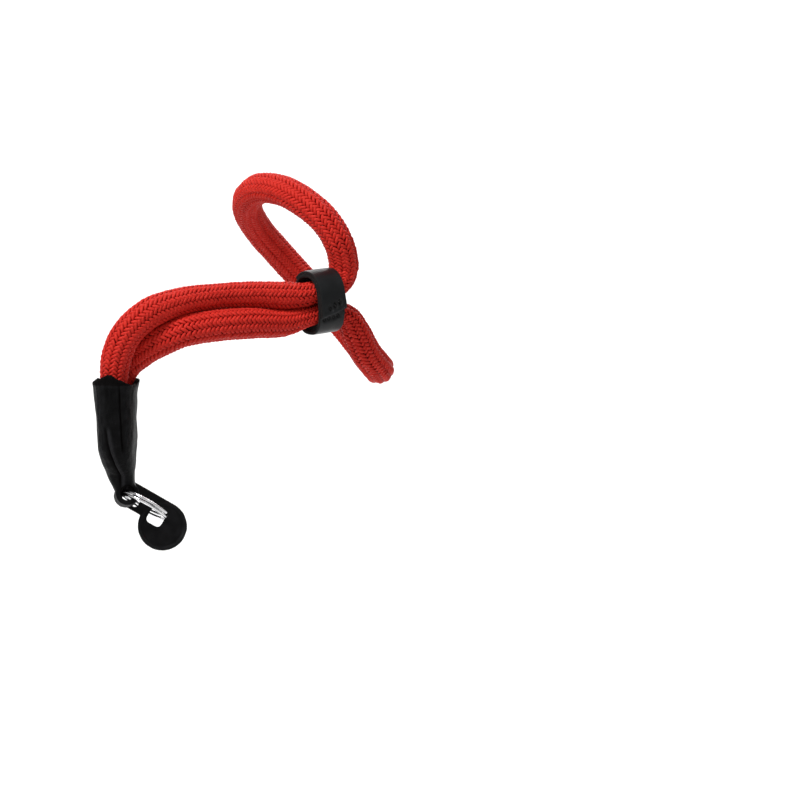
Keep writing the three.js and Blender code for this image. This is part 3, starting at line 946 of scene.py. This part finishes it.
def makeStitches(tree, finish):
    # two short rows of thread that hold the lapped end down, one on each layer
    frameOf = BandFrame()
    draw = random.Random(slider["seed"])
    points, outwards, lies, sizes = [], [], [], []
    for degrees, along, row in stitchPlaces():
        height = slider["wall"] - 0.4
        if row["onLap"]:
            height += slider["lapThickness"] + slider["lapLift"] * 0.4
        spot, out, tangent = frameOf.at(degrees, along, height)
        points.append(spot)
        outwards.append(out)
        lies.append((frameOf.back * 0.55 + tangent).normalized())
        sizes.append((draw.uniform(0.92, 1.08), 1.0, 1.0))
    guide = guideMesh("stitchGuide", points, outwards, lies, sizes)
    return scaledToMetres(tree.run(guide, "slider_stitches", {
        "Float length": slider["stitchLength"],
        "Float width": slider["stitchWidth"],
        "Float height": slider["stitchHeight"],
        "Dive": 0.2,
        "One sided": 0.0,
        "Seed": slider["seed"],
        "Material": finish.material,
    }))


def threadFinish():
    finish = Finish("blackThread", {"Specular IOR Level": 0.5})
    yarn = finish.attribute("yarn", "Vector")
    parts = finish.add("ShaderNodeSeparateXYZ", inputs={0: yarn})
    twist = finish.add("ShaderNodeMath", {"operation": "SINE"}, {0: parts * 14 + parts.output("Y") * 5})
    dark, light = (0.003, 0.003, 0.003, 1), (0.012, 0.012, 0.013, 1)
    finish.feed("Base Color", finish.blend(twist * 0.5 + 0.5, dark, light))
    finish.feed("Roughness", 0.5 - twist * 0.1)
    finish.relief(twist, 0.05)
    return finish


finishPiece(makeSlider(), "root", ["slider"], leatherFinish("sliderLeather", slider))
threadBlack = threadFinish()
finishPiece(makeStitches(rods, threadBlack), "root", ["slider"], threadBlack)
print("slider made")


pad = {
    "voxel": 0.17, "smoothing": 6,
    "grain": 0.36, "depth": 0.03, "shine": 0.1, "rough": 0.46, "wearAndHighlightAmount": 0.4,
    "dark": (0.0015, 0.0015, 0.0017, 1), "light": (0.0045, 0.0045, 0.005, 1),
    # the rubbed colour also paints the bead's highlight
    "rubbedAndHighlight": (0.03, 0.03, 0.033, 1), "rawAndShade": (0.0015, 0.0013, 0.0013, 1),
    "disc": (7.1, -2.1), "radius": 7.0,      # the disc's middle, away and over from the ring's
    "bead": 0.16, "beadIn": 0.55, "lineIn": 1.3, "uneven": 0.06,
}


def makePad():
    made = remeshedCopy("lug_pad", "lug_pad_leather", pad["voxel"], pad["smoothing"])

    def fromDisc(point):
        away = (point - ring["centre"]).dot(ring["away"]) - pad["disc"][0]
        over = (point - ring["centre"]).dot(ring["over"]) - pad["disc"][1]
        return math.hypot(away, over)

    def offset(point, normal):
        # a low bead just inside the disc's edge, with a pressed line beside it
        face = eased(abs(normal.dot(ring["hinge"])), 0.7, 0.95)
        inwards = pad["radius"] - fromDisc(point)
        bead = bump(inwards, pad["beadIn"], 0.3) - 0.8 * bump(inwards, pad["lineIn"], 0.3)
        return face * pad["bead"] * bead + pad["uneven"] * noise.noise(point * 0.7)

    moved(made, offset)
    mesh = made.data
    # lighter on the bead near the edge, a painted highlight as well as rubbing, and in random rubbed
    # patches
    wearAndHighlight = [0.5 * bump(fromDisc(vertex.co), pad["radius"] - 0.5, 0.4)
            + 0.25 * (1 + noise.noise(vertex.co * 0.5)) for vertex in mesh.vertices]
    addPointValues(mesh, "cutAndShade", [0.0] * len(mesh.vertices))
    addPointValues(mesh, "wearAndHighlight", wearAndHighlight)
    return scaledToMetres(made)


finishPiece(makePad(), "ring", ["lug_pad"], leatherFinish("padLeather", pad))
print("lug pad made")


def makeRing():
    # two turns of flat wire, which steps from the lower turn to the upper one at the pad's side
    steps, sides = ring["steps"], ring["sides"]
    halfStep = ring["stepAngle"] / 2
    first = halfStep + ring["endGap"]
    last = 4 * math.pi - first
    points, turns = [], []
    for step in range(steps + 1):
        angle = first + (last - first) * step / steps
        climb = eased(angle, 2 * math.pi - halfStep, 2 * math.pi + halfStep)
        level = (climb - 0.5) * ring["pitch"]
        fromEnd = min(step, steps - step)
        taper = 1 - ring["endTaper"] + ring["endTaper"] * math.sqrt(min(fromEnd / 3, 1))
        for side in range(sides):
            turn = 2 * math.pi * side / sides
            out = squared(math.cos(turn), ring["corner"]) * ring["wireWidth"] / 2 * taper
            rise = squared(math.sin(turn), ring["corner"]) * ring["wireHeight"] / 2 * taper
            radius = ring["radius"] + out
            points.append(ring["centre"] + ring["away"] * radius * math.cos(angle)
                          + ring["hinge"] * radius * math.sin(angle) + ring["over"] * (level + rise))
            turns.append((angle * ring["radius"], turn, 0))
    faces = tubeFaces(points, steps + 1, sides)
    turns += [turns[0], turns[steps * sides]]     # for the middle points of the two ends
    made = meshObject("split_ring_wire", points, faces)
    turnFacesOut(made)
    addPointValues(made.data, "wire", turns, "FLOAT_VECTOR")
    return scaledToMetres(made)


def steelFinish():
    finish = Finish("steel", {"Metallic": 1.0})
    wire = finish.attribute("wire", "Vector")
    # drawing lines, long along the wire and fine round it
    lines = {0: wire, 1: (0.35, 14.0, 1.0)}
    stretched = finish.add("ShaderNodeVectorMath", {"operation": "MULTIPLY"}, lines)
    drawn = finish.add("ShaderNodeTexNoise", inputs={"Vector": stretched, "Scale": 1.0, "Detail": 3.0})
    spots = finish.grain(finish.place(), 1.8, Detail=4.0)
    finish.feed("Base Color", finish.blend(spots, (0.86, 0.86, 0.87, 1), (0.95, 0.95, 0.96, 1)))
    finish.feed("Roughness", 0.13 + drawn * 0.04 + spots * 0.06)
    return finish


finishPiece(makeRing(), "ring", ["split_ring"], steelFinish())
print("ring wound")


# in metres: the floor's level, how far back the backdrop's wall is, the curve between the two, and
# how far they reach
studio = {
    "floor": -0.55, "wall": 1.6, "curve": 0.6, "curveSteps": 16, "front": -3.0, "top": 3.0,
    "width": 4.0, "world": 0.26,
    "lights": [
        # name, place, aim, size, power in watts
        ("key", (-0.55, -0.55, 1.0), (-0.02, -0.02, -0.01), 0.45, 15.5),
        ("front", (0.35, -1.2, 0.6), (-0.03, -0.04, -0.03), 1.1, 2.3),
        ("rim", (0.4, 0.7, 0.75), (-0.02, 0.0, 0.0), 0.5, 3.4),
        ("backdropLow", (0.0, 0.9, 0.4), (0.0, 1.1, -0.8), 1.2, 7),
        ("backdropHigh", (0.0, 0.6, 0.7), (0.0, 1.7, 0.3), 1.2, 7),
    ],
}


def makeFloor():
    curve = studio["curve"]
    bend = studio["wall"] - curve
    profile = [(studio["front"], 0.0), (0.0, 0.0), (bend, 0.0)]
    for part in range(1, studio["curveSteps"] + 1):
        turn = math.radians(90) * part / studio["curveSteps"]
        profile.append((bend + curve * math.sin(turn), curve * (1 - math.cos(turn))))
    profile.append((studio["wall"], studio["top"]))
    points = []
    for y, z in profile:
        for x in (-studio["width"], studio["width"]):
            points.append((x, y, z + studio["floor"]))
    faces = [(2 * row, 2 * row + 1, 2 * row + 3, 2 * row + 2) for row in range(len(profile) - 1)]
    made = meshObject("floor", points, faces)
    finish = Finish("paper", {"Roughness": 0.9, "Specular IOR Level": 0.1})
    speck = finish.grain(finish.place(), 30, Detail=2.0)
    finish.feed("Base Color", finish.blend(speck, (0.86, 0.86, 0.86, 1), (0.88, 0.88, 0.88, 1)))
    made.data.materials.append(finish.material)


def makeLight(name, place, aim, size, power):
    data = bpy.data.lights.new(name, "AREA")
    data.size = size
    data.energy = power
    made = addObject(name, data)
    made.location = place
    made.rotation_euler = (Vector(aim) - Vector(place)).to_track_quat("-Z", "Y").to_euler()


def makeStudio():
    makeFloor()
    for name, place, aim, size, power in studio["lights"]:
        makeLight(name, place, aim, size, power)
    world = bpy.data.worlds.new("studio")
    world.use_nodes = True
    background = world.node_tree.nodes["Background"]
    background.inputs["Color"].default_value = (1.0, 1.0, 1.0, 1)
    background.inputs["Strength"].default_value = studio["world"]
    bpy.context.scene.world = world
    bpy.context.scene.view_settings.view_transform = "Standard"


makeStudio()
print("studio lit")
